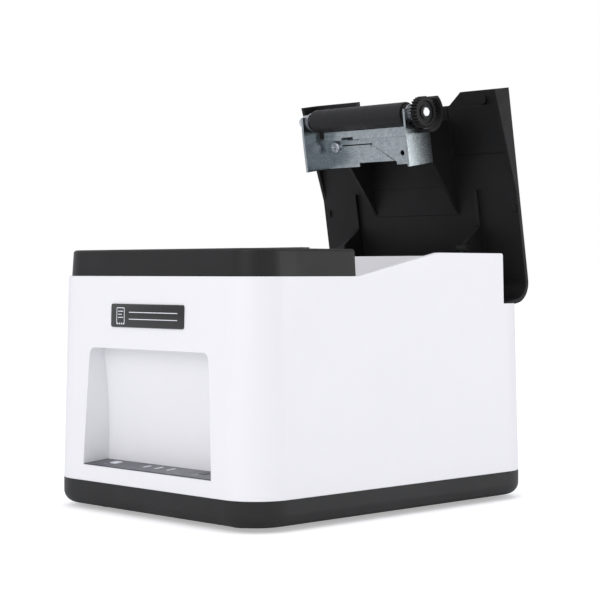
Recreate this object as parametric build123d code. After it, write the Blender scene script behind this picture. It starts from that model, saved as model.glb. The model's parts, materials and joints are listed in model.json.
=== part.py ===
from build123d import *
import math
import os

os.makedirs("parts", exist_ok=True)

# Desktop receipt printer for 57 mm paper, shown with its paper cover open.
# Millimetres. X to the right, Y to the back, Z up. The origin is on the table under the
# middle of the case. The cover is drawn shut, where it fits the case, and then swung open.

# ---- case ----
case_width = 140.0
case_depth = 182.0
case_corner = 18.5
case_draft = 1.5
case_wall = 2.3
foot_height = 1.9
seam_z = 13.5
deck_z = 105.3
wall_top_z = 115.8
slope_start_y = -28.0
slope_end_y = 24.3
side_end_y = 70.3
rim_z = 92.3

# ---- cap over the front half ----
cap_height = 11.7
cap_inset = 1.5
cap_draft = 3.75
cap_wall = 2.2
cap_edge = 1.5

# ---- paper cover and its hinge ----
open_angle = 80.5
hinge_y = 70.6
hinge_z = 93.6
hinge_pin_r = 1.5
hinge_running = 0.05
knuckle_r = 3.0
knuckle_width = 5.0
arm_x = 40.5
arm_wall = 2.4
cover_top_z = 117.2
cover_half = 64.7
cover_gap = 0.5
cover_back_y = 74.2
cover_wall = 2.0
cover_back_height = 25.1
cover_corner = 9.7
skirt_wall = 1.8
skirt_depth = 10.6
skirt_length = 50.2
notch_depth = 6.1
notch_half = 28.5
notch_flare = 9.2
gusset_x = 27.5
gusset_wall = 1.5

# ---- platen roller and its bracket ----
platen_y = -20.9
platen_z = 82.4
platen_r = 5.55
platen_length = 60.4
shaft_r = 2.2
shaft_left = -41.0
shaft_right = 42.8
shaft_running = 0.05
bush_r = 3.5
bracket_half = 34.6
bracket_sheet = 1.2
web_top_z = 92.2
gear_module = 0.5
platen_teeth = 28
gear_x = 38.2
gear_face = 4.0

# ---- print mechanism in the case ----
plate_half = 36.4
plate_sheet = 1.0
chassis_z = 56.0
chassis_front_y = -64.0
chassis_back_y = -8.0
chassis_step_y = -33.0
chassis_seat_z = 81.5
head_tilt = 20.0
head_gap = 0.3
head_half = 31.0
head_sink = 4.5
motor_y = -50.0
motor_z = 70.0
motor_r = 12.5
motor_length = 19.0
pinion_teeth = 14
idler_teeth = 40
gear_clear = 0.35

# ---- paper bucket ----
bucket_half = 29.5
bucket_wall = 1.8
roll_r = 38.5
bucket_floor_z = 23.5
bucket_rim_z = 103.2
bucket_rim = 1.6
inner_wall_y = 64.7
inner_wall = 2.4
inner_wall_top_z = 114.9

# ---- front recess and keys ----
recess_top_z = 73.3
recess_low_z = 20.6
recess_half_top = 40.0
recess_half_low = 43.6
recess_top_depth = 7.5
recess_mid_depth = 10.7
recess_mid_drop = 15.5
recess_low_depth = 14.3
recess_corner = 3.5
recess_floor_tilt = 4.5
recess_wall = 2.0
overlay_sheet = 0.5
key_size = 4.4
key_x = 30.0
key_gap = 0.25
key_travel = 0.6
key_proud = 0.3
light_pitch = 8.15
light_size = (1.6, 4.4)

# ---- rear sockets ----
socket_z = 36.0
board_y = 69.2
board_sheet = 1.6
window_gap = 0.3

free_edge_y = slope_start_y + cover_gap
cap_top_z = deck_z + cap_height


def box(x0, x1, y0, y1, z0, z1):
    return Pos((x0 + x1) / 2, (y0 + y1) / 2, (z0 + z1) / 2) * Box(x1 - x0, y1 - y0, z1 - z0)


def rod_x(y, z, radius, x0, x1):
    return Pos((x0 + x1) / 2, y, z) * Rot(0, 90, 0) * Cylinder(radius, x1 - x0)


def rod_y(x, z, radius, y0, y1):
    return Pos(x, (y0 + y1) / 2, z) * Rot(90, 0, 0) * Cylinder(radius, y1 - y0)


def rod_z(x, y, radius, z0, z1):
    return Pos(x, y, (z0 + z1) / 2) * Cylinder(radius, z1 - z0)


def side_face(points):
    """A face in the side view, from (y, z) corners."""
    return Plane.YZ * make_face(Polyline(*points, close=True))


def side_prism(points, x0, x1):
    return Pos(x0, 0, 0) * extrude(side_face(points), amount=x1 - x0)


def both_sides(solid):
    return solid + mirror(solid, about=Plane.YZ)


def lean(z):
    """How far a case wall has leaned in at height z."""
    return (z - seam_z) * math.tan(math.radians(case_draft))


def case_block(inset, z0, z1):
    """The case's outer form between two heights, all round smaller by inset."""
    off = inset + lean(z0)
    outline = RectangleRounded(case_width - 2 * off, case_depth - 2 * off, case_corner - off)
    return extrude(Pos(0, 0, z0) * outline, amount=z1 - z0, taper=case_draft)


def fused(first, *others):
    for other in others:
        first = first + other
    return first


def swing_open(solid):
    """Turns a piece of the cover about the hinge, from shut to open."""
    return Pos(0, hinge_y, hinge_z) * Rot(-open_angle, 0, 0) * Pos(0, -hinge_y, -hinge_z) * solid


def save(name, shape):
    solids = shape.solids()
    body = solids[0] if len(solids) == 1 else Compound(children=list(solids))
    body.label = name
    export_step(body, f"parts/{name}.step")
    print(name, len(solids), "solid(s)", round(sum(s.volume for s in solids)), "mm3")


# ---- case shell ----

ledge_slope = math.tan(math.radians(90 - open_angle))
ledge_gap = 0.5
ledge_sheet = 2.2
# The open cover's back panel lies along the ledge, which is its stop.
panel_foot_y = hinge_y - (hinge_z - (cover_top_z - cover_back_height)) * math.sin(
    math.radians(open_angle)
)
panel_foot_y += (cover_back_y - hinge_y) * math.cos(math.radians(open_angle))
panel_foot_z = hinge_z - (cover_back_y - hinge_y) * math.sin(math.radians(open_angle))
panel_foot_z -= (hinge_z - (cover_top_z - cover_back_height)) * math.cos(math.radians(open_angle))


def ledge_z(y):
    return panel_foot_z + (y - panel_foot_y) * ledge_slope - ledge_gap


def front_y(z):
    """Y of the case's front face at height z."""
    return -(case_depth / 2 - lean(z))


def recess_tool(grow):
    """The front recess, larger all round by grow: open to the front, deeper towards its floor."""
    mid_z = recess_top_z - recess_mid_drop
    back_top = (front_y(recess_top_z) + recess_top_depth + grow, recess_top_z + grow)
    back_mid = (front_y(mid_z) + recess_mid_depth + grow, mid_z)
    back_low_y = front_y(recess_low_z) + recess_low_depth + grow
    floor_rise = recess_low_depth * math.tan(math.radians(recess_floor_tilt))
    back_low = (back_low_y, recess_low_z + floor_rise - grow)
    outside = front_y(recess_low_z) - 6
    floor_front = (outside, recess_low_z - 6 * math.tan(math.radians(recess_floor_tilt)) - grow)
    outline = [
        Line(floor_front, back_low),
        Spline(back_low, back_mid, back_top),
        Line(back_top, (outside, recess_top_z + grow)),
        Line((outside, recess_top_z + grow), floor_front),
    ]
    depth_shape = extrude(Plane.YZ * make_face(outline), amount=case_width, both=True)
    low_half = recess_half_low + grow
    top_half = recess_half_top + grow
    corners = [
        (-low_half, recess_low_z - 3),
        (low_half, recess_low_z - 3),
        (top_half, recess_top_z + grow),
        (-top_half, recess_top_z + grow),
    ]
    front = make_face(Polyline(*corners, close=True))
    rounded = fillet(front.vertices().sort_by(Axis.Y)[2:], recess_corner + grow)
    front_shape = extrude(Plane.XZ * rounded, amount=case_depth)
    return depth_shape & front_shape


def screw_post(x, y, top, height_from):
    """A post that a base screw bites into, with the rib that ties it to the side wall."""
    post = rod_z(x, y, post_r, height_from, top)
    rib_end = math.copysign(case_width / 2 - lean(top) - case_wall / 2, x)
    rib = box(min(x, rib_end), max(x, rib_end), y - 1, y + 1, seam_z + lip_height + 0.4, top)
    return post + rib


post_r = 4.0
post_x = case_width / 2 - 13.0
post_y = case_depth / 2 - 15.0
post_top_z = 30.0
tray_floor_z = foot_height + 2.5
lip_height = 3.0
ear_width = 3.0
ear_gap = 0.7
ear_r = 2.7
slot_gap = 1.0
ear_x = arm_x + knuckle_width / 2 + ear_gap

outer = case_block(0, seam_z, wall_top_z + 1)
cavity = case_block(case_wall, seam_z - 1, wall_top_z + 3)
inside = case_block(case_wall / 2, seam_z, wall_top_z + 1)

top_corners = [
    (-case_depth, deck_z),
    (slope_start_y, deck_z),
    (slope_end_y, wall_top_z),
    (side_end_y, wall_top_z),
    (side_end_y, rim_z),
    (case_depth, rim_z),
    (case_depth, wall_top_z + 30),
    (-case_depth, wall_top_z + 30),
]
top_face = make_face(Polyline(*top_corners, close=True))
slope_end = top_face.vertices().sort_by_distance((slope_end_y, wall_top_z))[0]
top_face = fillet(slope_end, 12)
wall_end = top_face.vertices().sort_by_distance((side_end_y, wall_top_z))[0]
top_face = fillet(wall_end, 1.2)
above_case = extrude(Plane.YZ * top_face, amount=case_width, both=True)

deck_ring = case_block(case_wall / 2, deck_z - 2, deck_z) & box(
    -case_width, case_width, -case_depth, slope_start_y, deck_z - 2, deck_z
)
deck_ring -= box(
    -case_width / 2 + 9, case_width / 2 - 9, -case_depth / 2 + 10, 0, deck_z - 3, deck_z + 1
)

ledge_front_y = inner_wall_y + inner_wall
ledge = side_prism(
    [
        (inner_wall_y, ledge_z(inner_wall_y)),
        (case_depth / 2 + 2, ledge_z(case_depth / 2 + 2)),
        (case_depth / 2 + 2, ledge_z(case_depth / 2 + 2) - ledge_sheet),
        (inner_wall_y, ledge_z(inner_wall_y) - ledge_sheet),
    ],
    -case_width / 2,
    case_width / 2,
)
ledge = ledge & inside
over_ledge_low = ledge_z(inner_wall_y)
over_ledge = side_prism(
    [
        (ledge_front_y, ledge_z(ledge_front_y)),
        (case_depth / 2 + 4, ledge_z(case_depth / 2 + 4)),
        (case_depth / 2 + 4, wall_top_z + 5),
        (ledge_front_y, wall_top_z + 5),
    ],
    -cover_half - 0.45,
    cover_half + 0.45,
)

back_wall = box(
    -case_width / 2, case_width / 2, inner_wall_y, ledge_front_y, over_ledge_low - 1, inner_wall_top_z
)
back_wall = back_wall & inside
# The wall's rear upper edge is chamfered clear of the shut cover's rounded corner.
corner_relief = 1.2
back_wall -= side_prism(
    [
        (ledge_front_y - corner_relief, inner_wall_top_z + 0.1),
        (ledge_front_y + 0.1, inner_wall_top_z + 0.1),
        (ledge_front_y + 0.1, inner_wall_top_z - corner_relief),
    ],
    -case_width / 2,
    case_width / 2,
)
arm_slot = box(
    arm_x - knuckle_width / 2 - 2 * slot_gap,
    arm_x + knuckle_width / 2 + slot_gap / 2,
    inner_wall_y - 1,
    ledge_front_y + 1,
    over_ledge_low + 1,
    wall_top_z + 5,
)
ear = side_prism(
    [
        (ledge_front_y - 0.5, hinge_z - ear_r),
        (hinge_y, hinge_z - ear_r),
        (hinge_y, hinge_z + ear_r),
        (ledge_front_y - 0.5, hinge_z + ear_r),
    ],
    ear_x,
    ear_x + ear_width,
)
ear = ear + rod_x(hinge_y, hinge_z, ear_r, ear_x, ear_x + ear_width)
pin_hole = rod_x(hinge_y, hinge_z, hinge_pin_r, ear_x - 1, ear_x + ear_width + 1)

socket_windows = {
    "switch": (-46.0, 12.4, 18.6),
    "power": (-29.0, 10.0, 11.5),
    "usb": (-8.0, 12.0, 11.0),
    "drawer": (14.0, 13.2, 13.0),
    "network": (38.0, 16.0, 13.6),
}

recess = recess_tool(0)
case_shell = outer - cavity
case_shell = fused(case_shell, deck_ring, ledge, back_wall)
case_shell = case_shell + (recess_tool(recess_wall) & inside)
case_shell = case_shell - above_case - over_ledge - recess
case_shell = case_shell + both_sides(ear)
case_shell = case_shell - both_sides(arm_slot) - both_sides(pin_hole)
for sx in (-1, 1):
    for sy in (-1, 1):
        case_shell = case_shell + screw_post(sx * post_x, sy * post_y, post_top_z, tray_floor_z)
        case_shell = case_shell - rod_z(sx * post_x, sy * post_y, 1.3, tray_floor_z - 1, 18)
for x, width, height in socket_windows.values():
    half_w = width / 2 + window_gap
    half_h = height / 2 + window_gap
    window_front = case_depth / 2 - 8
    window_back = case_depth / 2 + 2
    window = box(x - half_w, x + half_w, window_front, window_back, socket_z - half_h, socket_z + half_h)
    case_shell = case_shell - window

# Key wells through the recess floor, square to the sloping floor.
floor_plane_y = front_y(recess_low_z) + 8.3
floor_plane_z = recess_low_z + 8.3 * math.tan(math.radians(recess_floor_tilt))


def on_floor(x, solid):
    """Puts a piece drawn about the origin on the recess floor, square to it."""
    return Pos(x, floor_plane_y, floor_plane_z) * Rot(recess_floor_tilt, 0, 0) * solid


key_well = Box(key_size + 2 * key_gap, key_size + 2 * key_gap, 12)
for x in (-key_x, key_x):
    case_shell = case_shell - on_floor(x, key_well)
save("case_shell", case_shell)

# ---- base tray, feet and base screws ----

tray_wall = 2.3
tray_edge = 5.5
band = extrude(
    Pos(0, 0, foot_height) * RectangleRounded(case_width, case_depth, case_corner),
    amount=seam_z - foot_height,
)
band = fillet(band.faces().sort_by(Axis.Z)[0].edges(), tray_edge)
tray_inside = extrude(
    Pos(0, 0, tray_floor_z)
    * RectangleRounded(
        case_width - 2 * tray_wall - 6, case_depth - 2 * tray_wall - 6, case_corner - tray_wall - 3
    ),
    amount=seam_z,
)
lip_outer = case_wall + 0.25
lip = extrude(
    Pos(0, 0, tray_floor_z)
    * RectangleRounded(case_width - 2 * lip_outer, case_depth - 2 * lip_outer, case_corner - lip_outer),
    amount=seam_z + lip_height - tray_floor_z,
    taper=case_draft * 0.9,
)
base_tray = band + lip - tray_inside

chassis_post_r = 3.5
chassis_posts = [(sx * 30.0, y) for sx in (-1, 1) for y in (-58.0, -22.5)]
for x, y in chassis_posts:
    base_tray = base_tray + rod_z(x, y, chassis_post_r, tray_floor_z - 1, chassis_z)
    base_tray = base_tray - rod_z(x, y, 1.0, chassis_z - 9, chassis_z + 1)

roll_y = inner_wall_y - bucket_wall - roll_r
roll_z = bucket_floor_z + roll_r
cradle_gap = 0.1
for x in (-20.0, 20.0):
    cradle = box(x - 1, x + 1, roll_y - 18, roll_y + 18, tray_floor_z - 1, bucket_floor_z + 6)
    base_tray = base_tray + (cradle - rod_x(roll_y, roll_z, roll_r + bucket_wall + cradle_gap, x - 5, x + 5))

head_r = 3.0
for sx in (-1, 1):
    for sy in (-1, 1):
        x = sx * post_x
        y = sy * post_y
        base_tray = base_tray - rod_z(x, y, 1.7, foot_height - 1, tray_floor_z + 1)
        base_tray = base_tray - rod_z(x, y, head_r + 0.3, foot_height - 1, foot_height + 1.1)
save("base_tray", base_tray)

foot_x = case_width / 2 - 26.0
foot_y = case_depth / 2 - 19.0
feet = [rod_z(sx * foot_x, sy * foot_y, 6.5, 0, foot_height) for sx in (-1, 1) for sy in (-1, 1)]
save("rubber_feet", Compound(children=feet))


def cross_slot(size, depth):
    return Box(size, size * 0.22, depth) + Box(size * 0.22, size, depth)


def pan_screw(shank_r, head_radius, head_height, length):
    """A pan-head cross screw. Its head sits on z = 0 and its shank goes down."""
    head = Pos(0, 0, head_height / 2) * Cylinder(head_radius, head_height)
    head = fillet(head.edges().sort_by(Axis.Z)[-1], head_height * 0.45)
    head = head - Pos(0, 0, head_height) * cross_slot(head_radius * 1.1, head_height)
    return head + Pos(0, 0, -length / 2) * Cylinder(shank_r, length)


base_screw = Rot(180, 0, 0) * pan_screw(1.3, 3.0, 1.0, 14)
base_screws = [
    Pos(sx * post_x, sy * post_y, foot_height + 1.1) * base_screw for sx in (-1, 1) for sy in (-1, 1)
]
save("base_screws", Compound(children=base_screws))

# ---- cap, tear bar and badge ----

slot_half = 44.5


def cap_block(inset, z0, z1):
    off = lean(deck_z) + cap_inset + inset
    outline = RectangleRounded(case_width - 2 * off, case_depth - 2 * off, case_corner - off)
    return extrude(Pos(0, 0, z0) * outline, amount=z1 - z0, taper=cap_draft)


keep_front = box(-case_width, case_width, -case_depth, slope_start_y, deck_z, cap_top_z + 5)
cap_outer = cap_block(0, deck_z, cap_top_z) & keep_front
top_rim = cap_outer.faces().sort_by(Axis.Z)[-1].edges()
cap_outer = fillet(top_rim.filter_by_position(Axis.Y, -case_depth, slope_start_y - 0.01), cap_edge)
cap_hollow = cap_block(cap_wall, deck_z - 0.01, cap_top_z - cap_wall) & box(
    -case_width, case_width, -case_depth, slope_start_y - cap_wall, deck_z - 1, cap_top_z
)
paper_gate = box(
    -slot_half, slot_half, slope_start_y - cap_wall - 1, slope_start_y + 1, deck_z - 1, cap_top_z - cap_wall
)
top_cap = cap_outer - cap_hollow - paper_gate
save("top_cap", top_cap)

bar_half = 38.6
bar_front_y = slope_start_y - 4.8
bar_sheet = 1.0
tooth_pitch = 1.6
bar_points = [(-bar_half, bar_front_y), (bar_half, bar_front_y)]
teeth_across = round(2 * bar_half / tooth_pitch)
for i in range(teeth_across, -1, -1):
    x = -bar_half + 2 * bar_half * i / teeth_across
    bar_points.append((x, slope_start_y - 0.7))
    if i > 0:
        bar_points.append((x - bar_half / teeth_across, slope_start_y))
tear_bar = extrude(
    Pos(0, 0, cap_top_z) * make_face(Polyline(*bar_points, close=True)), amount=bar_sheet
)
save("tear_bar", tear_bar)

badge_half = 24.6
badge_z = 88.0
badge_height = 10.3
badge_sheet = 0.6
badge = Plane.XZ * RectangleRounded(2 * badge_half, badge_height, 1.0)
badge = Rot(-case_draft, 0, 0) * extrude(badge, amount=badge_sheet)
save("front_badge", Pos(0, front_y(badge_z), badge_z) * badge)

# ---- control panel in the recess ----

overlay = recess & side_prism(
    [
        (
            front_y(recess_low_z) + d,
            recess_low_z + d * math.tan(math.radians(recess_floor_tilt)) + up,
        )
        for d, up in (
            (0.4, 0),
            (recess_low_depth - 0.5, 0),
            (recess_low_depth - 0.5, overlay_sheet),
            (0.4, overlay_sheet),
        )
    ],
    -recess_half_low + 0.4,
    recess_half_low - 0.4,
)
for x in (-key_x, key_x):
    overlay = overlay - on_floor(x, key_well)
light_window = Box(light_size[0], light_size[1], 2)
for i in (-1, 0, 1):
    overlay = overlay - on_floor(i * light_pitch, light_window)
save("control_overlay", overlay)

light_bar = Pos(0, 0, (overlay_sheet + 0.1) / 2) * Box(light_size[0], light_size[1], overlay_sheet + 0.1)
save("status_lights", Compound(children=[on_floor(i * light_pitch, light_bar) for i in (-1, 0, 1)]))

key_stem = 4.0
key_top = overlay_sheet + key_proud
key_cap = Pos(0, 0, (key_top - key_stem) / 2) * Box(key_size, key_size, key_top + key_stem)
key_cap = fillet(key_cap.edges().filter_by(Axis.Z), 0.6)
key_cap = fillet(key_cap.faces().sort_by(Axis.Z)[-1].edges(), 0.25)
save("power_key", on_floor(-key_x, key_cap))
save("feed_key", on_floor(key_x, key_cap))

# The keys' switch board hangs under the recess floor on two posts.
key_board_top = -key_stem - key_travel - 0.6
key_post_top = recess_wall + 0.15
key_board = Pos(0, 0, key_board_top - 0.6) * Box(2 * key_x + 14, 5.2, 1.2)
for x in (-key_x, key_x):
    key_board = key_board + Pos(x, 0, key_board_top + 0.15) * Box(4, 4, 0.3)
for x in (-key_x + 8, 0, key_x - 8):
    key_board = key_board + Pos(x, 0, (key_board_top - key_post_top) / 2) * Cylinder(
        1.6, -key_board_top - key_post_top
    )
save("key_board", on_floor(0, key_board))

# ---- paper bucket ----


def bucket_form(grow, top):
    """Half-round trough with straight sides above it, as a solid."""
    half = bucket_half + grow
    radius = roll_r + grow
    trough = rod_x(roll_y, roll_z, radius, -half, half)
    return trough + box(-half, half, roll_y - radius, roll_y + radius, roll_z, top)


cover_arm_slot = box(
    arm_x - knuckle_width / 2 - 2, arm_x + knuckle_width / 2 + 1, 33.0, inner_wall_y + 1, 90, wall_top_z
)
rim_half = case_width / 2 - lean(bucket_rim_z) - case_wall - 0.35
mouth_y = 6.0
rim_plate = box(-rim_half, rim_half, mouth_y, inner_wall_y, bucket_rim_z - bucket_rim, bucket_rim_z)
wing = box(
    slot_half, rim_half, slope_start_y + 1, mouth_y + 1, bucket_rim_z - bucket_rim, bucket_rim_z
)
wing_wall = box(slot_half, slot_half + 1.6, slope_start_y + 1, mouth_y + 1, 92, bucket_rim_z)
bucket = bucket_form(bucket_wall, bucket_rim_z)
bucket = fused(bucket, rim_plate, both_sides(wing), both_sides(wing_wall))
bucket = bucket - bucket_form(0, bucket_rim_z + 1)
bucket = bucket - box(-44.4, 44.4, -60, mouth_y, 72.0, bucket_rim_z + 1)
bucket = bucket - both_sides(cover_arm_slot)
boss_spots = [(sx * 24.0, z) for sx in (-1, 1) for z in (66.0, 80.0)]
for x, z in boss_spots:
    bucket = bucket + rod_y(x, z, 3.2, inner_wall_y - bucket_wall, board_y)
    bucket = bucket - rod_y(x, z, 1.1, inner_wall_y, board_y + 1)
save("paper_bucket", bucket)

# ---- print mechanism ----

pinion_pitch_r = gear_module * pinion_teeth / 2
idler_pitch_r = gear_module * idler_teeth / 2
platen_pitch_r = gear_module * platen_teeth / 2
tip = gear_module * 0.9
# The idler stands where its teeth mesh with the pinion and just clear the shut platen's gear.
reach_pinion = pinion_pitch_r + idler_pitch_r + 0.05
reach_platen = idler_pitch_r + platen_pitch_r + 2 * tip + gear_clear
span_y = platen_y - motor_y
span_z = platen_z - motor_z
span = math.hypot(span_y, span_z)
along = (reach_pinion**2 - reach_platen**2 + span**2) / (2 * span)
aside = math.sqrt(max(reach_pinion**2 - along**2, 0))
idler_y = motor_y + (along * span_y + aside * span_z) / span
idler_z = motor_z + (along * span_z - aside * span_y) / span


def spur_gear(teeth, width, phase, bore, hub_r, hub_length):
    """A small spur gear about X, its face from x = 0. Its teeth are straight-sided."""
    pitch_r = gear_module * teeth / 2
    tip_r = pitch_r + tip
    root_r = pitch_r - gear_module * 1.25
    step = 2 * math.pi / teeth
    corners = []
    for i in range(teeth):
        centre = i * step + phase
        for radius, share in ((root_r, -0.36), (tip_r, -0.11), (tip_r, 0.11), (root_r, 0.36)):
            angle = centre + share * step
            corners.append((radius * math.cos(angle), radius * math.sin(angle)))
    wheel = extrude(Plane.YZ * make_face(Polyline(*corners, close=True)), amount=width)
    if hub_length > 0:
        wheel = wheel + rod_x(0, 0, hub_r, -hub_length, 0)
    return wheel - rod_x(0, 0, bore, -hub_length - 1, width + 1)


plate_outline = [
    (chassis_front_y, chassis_z),
    (chassis_back_y, chassis_z),
    (chassis_back_y, chassis_seat_z),
    (chassis_step_y, chassis_seat_z),
    (chassis_step_y, 91.0),
    (chassis_front_y + 6, 91.0),
    (chassis_front_y, 85.0),
]
side_plate = side_prism(plate_outline, plate_half, plate_half + plate_sheet)
seat = rod_x(platen_y, platen_z, bush_r + 0.9, plate_half - 1, plate_half + plate_sheet + 1)
seat = seat + box(
    plate_half - 1,
    plate_half + plate_sheet + 1,
    platen_y - bush_r - 1.6,
    platen_y + bush_r + 0.9,
    platen_z,
    platen_z + 20,
)
side_plate = side_plate - seat
floor_plate = box(
    -plate_half - plate_sheet,
    plate_half + plate_sheet,
    chassis_front_y,
    roll_y - roll_r - bucket_wall - 1.1,
    chassis_z,
    chassis_z + plate_sheet,
)
cross_y = motor_y + motor_r + 0.4
cross_plate = box(
    -plate_half - 0.5, plate_half + 0.5, cross_y, cross_y + plate_sheet, chassis_z, 84.0
)
motor_shaft_hole = rod_x(motor_y, motor_z, 3.2, plate_half - 1, plate_half + 3)
idler_pin_r = 1.5
idler_pin_hole = rod_x(idler_y, idler_z, idler_pin_r, plate_half - 1, plate_half + 3)
chassis = fused(both_sides(side_plate), floor_plate, cross_plate)
chassis = chassis - motor_shaft_hole - idler_pin_hole
chassis_hole_r = 1.25
for x, y in chassis_posts:
    chassis = chassis - rod_z(x, y, chassis_hole_r, chassis_z - 1, chassis_z + 3)

# The head leans back against the platen, and turns on its pin near the floor of the chassis.
lean_back = math.radians(head_tilt)
face_y = platen_y - (platen_r + head_gap) * math.cos(lean_back)
face_z = platen_z - (platen_r + head_gap) * math.sin(lean_back)
glass_sheet = 1.0
head_top = 3.0
head_low = 13.5


def on_head(solid):
    """Puts a piece drawn with the head's face on the plane y = 0 at its place."""
    return Pos(0, face_y, face_z) * Rot(head_tilt, 0, 0) * solid


print_head = on_head(box(-head_half, head_half, -glass_sheet, 0, -head_low + 2, head_top))
heat_sink = box(
    -head_half - 1.5, head_half + 1.5, -glass_sheet - head_sink, -glass_sheet, -head_low, head_top + 1
)
for i in range(-4, 5):
    heat_sink = heat_sink - box(
        i * 6.6 - 1.4, i * 6.6 + 1.4, -glass_sheet - head_sink - 1, -glass_sheet - head_sink + 1.6, -7.5, 9
    )
head_pin_r = 1.2
pin_local_y = -glass_sheet - head_sink / 2
pin_local_z = -head_low + 2.6
pivot_y = face_y + pin_local_y * math.cos(lean_back) - pin_local_z * math.sin(lean_back)
pivot_z = face_z + pin_local_y * math.sin(lean_back) + pin_local_z * math.cos(lean_back)
heat_sink = on_head(heat_sink) - rod_x(pivot_y, pivot_z, head_pin_r + 0.05, -40, 40)
save("print_head", print_head)
save("head_heat_sink", heat_sink)
chassis = chassis - rod_x(pivot_y, pivot_z, head_pin_r, -40, 40)
save("print_chassis", chassis)
head_pin_half = plate_half + plate_sheet + 0.4
save("head_pin", rod_x(pivot_y, pivot_z, head_pin_r, -head_pin_half, head_pin_half))

spring_back = cross_y + plate_sheet
spring_z = pivot_z + 10.5
spring_wire = 0.35
spring_r = 2.2
spring_front = face_y - (glass_sheet + head_sink) / math.cos(lean_back)
spring_front -= (spring_z + spring_r - face_z) * math.tan(lean_back)
spring_length = spring_front - spring_back - 0.95


def compression_spring(x):
    """A sleeve as thick as the wire stands for the coil."""
    front = spring_back + spring_length
    sleeve = rod_y(x, spring_z, spring_r + spring_wire, spring_back, front)
    return sleeve - rod_y(x, spring_z, spring_r - spring_wire, spring_back - 1, front + 1)


save("head_springs", Compound(children=[compression_spring(x) for x in (-18.0, 18.0)]))

motor_can = rod_x(motor_y, motor_z, motor_r, plate_half - motor_length, plate_half - 0.8)
motor_plate = box(
    plate_half - 0.8, plate_half, motor_y - 5, motor_y + 5, motor_z - motor_r, motor_z + motor_r + 4
)
motor_can = motor_can + motor_plate + rod_x(motor_y, motor_z, 3.0, plate_half - 1, plate_half + plate_sheet)
motor_shaft_r = 1.0
motor_can = motor_can - rod_x(motor_y, motor_z, motor_shaft_r + 0.05, plate_half - 12, plate_half + 5)
save("stepper_motor", motor_can)

pinion = Pos(gear_x, motor_y, motor_z) * spur_gear(pinion_teeth, gear_face, 0, motor_shaft_r, 0, 0)
save("motor_shaft", rod_x(motor_y, motor_z, motor_shaft_r, plate_half - 11.5, gear_x + gear_face))
save("drive_pinion", pinion)
# The idler's tooth gap faces the pinion's tooth along the line between their centres.
line_angle = math.atan2(idler_z - motor_z, idler_y - motor_y)
pinion_step = 2 * math.pi / pinion_teeth
idler_step = 2 * math.pi / idler_teeth
pinion_offset = (line_angle / pinion_step - round(line_angle / pinion_step)) * pinion_step
idler_phase = line_angle + math.pi + idler_step / 2 + pinion_offset * pinion_teeth / idler_teeth
idler = spur_gear(idler_teeth, gear_face, idler_phase, idler_pin_r + 0.05, 0, 0)
save("idler_gear", Pos(gear_x, idler_y, idler_z) * idler)
idler_pin = rod_x(idler_y, idler_z, idler_pin_r, plate_half, gear_x + gear_face + 0.9)
idler_pin = idler_pin + rod_x(idler_y, idler_z, 2.6, gear_x + gear_face + 0.3, gear_x + gear_face + 0.9)
save("idler_pin", idler_pin)

chassis_screw = pan_screw(1.0, 2.2, 1.4, 8)
chassis_screws = [Pos(x, y, chassis_z + plate_sheet) * chassis_screw for x, y in chassis_posts]
save("chassis_screws", Compound(children=chassis_screws))

sensor = box(-4, 4, -24.5, -18.5, chassis_z + plate_sheet, chassis_z + plate_sheet + 4)
save("paper_sensor", sensor - box(-1.2, 1.2, -23, -20, chassis_z + plate_sheet + 3, chassis_z + 9))

# ---- main board and rear sockets ----

board_back_y = board_y + board_sheet
board = box(-58, 58, board_y, board_back_y, 16, 84)
for x, z in boss_spots:
    board = board - rod_y(x, z, 1.3, board_y - 1, board_back_y + 1)
save("main_board", board)
board_screw = Rot(-90, 0, 0) * pan_screw(1.1, 2.4, 1.5, 4.5)
save(
    "board_screws",
    Compound(children=[Pos(x, board_back_y, z) * board_screw for x, z in boss_spots]),
)
chips = [
    box(-8, 8, board_back_y, board_back_y + 1.6, 58, 74),
    box(-50, -40, board_back_y, board_back_y + 4, 60, 70),
    rod_y(44, 64, 5, board_back_y, board_back_y + 11),
    rod_y(44, 76, 5, board_back_y, board_back_y + 11),
    box(-38, -30, board_back_y, board_back_y + 3, 62, 78),
]
save("board_components", Compound(children=chips))

socket_face_y = case_depth / 2 - lean(socket_z) - 0.2


def socket_block(name):
    x, width, height = socket_windows[name]
    return box(
        x - width / 2,
        x + width / 2,
        board_back_y,
        socket_face_y,
        socket_z - height / 2,
        socket_z + height / 2,
    )


power_x = socket_windows["power"][0]
jack = socket_block("power") - rod_y(power_x, socket_z, 3.2, socket_face_y - 10, socket_face_y + 1)
jack = jack + rod_y(power_x, socket_z, 1.0, socket_face_y - 11, socket_face_y - 1.5)
save("power_socket", jack)


def square_socket(name, mouth_w, mouth_h, mouth_deep):
    x = socket_windows[name][0]
    mouth = box(
        x - mouth_w / 2,
        x + mouth_w / 2,
        socket_face_y - mouth_deep,
        socket_face_y + 1,
        socket_z - mouth_h / 2,
        socket_z + mouth_h / 2,
    )
    return socket_block(name) - mouth


usb_x = socket_windows["usb"][0]
usb = square_socket("usb", 8.6, 8.0, 12.0)
tongue_y = socket_face_y - 12.5
usb = usb + box(usb_x - 2.8, usb_x + 2.8, tongue_y, tongue_y + 7.0, socket_z - 1.6, socket_z + 1.6)
save("usb_socket", usb)
drawer = square_socket("drawer", 9.8, 7.0, 12.0)
drawer = drawer - box(11.5, 16.5, socket_face_y - 8, socket_face_y + 1, socket_z - 5.0, socket_z - 3)
save("drawer_socket", drawer)
network = square_socket("network", 11.8, 8.4, 12.0)
network = network - box(35, 41, socket_face_y - 8, socket_face_y + 1, socket_z - 5.4, socket_z - 4)
save("network_socket", network)

# ---- power switch: frame in the rear wall, rocker on its own pins ----

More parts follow.
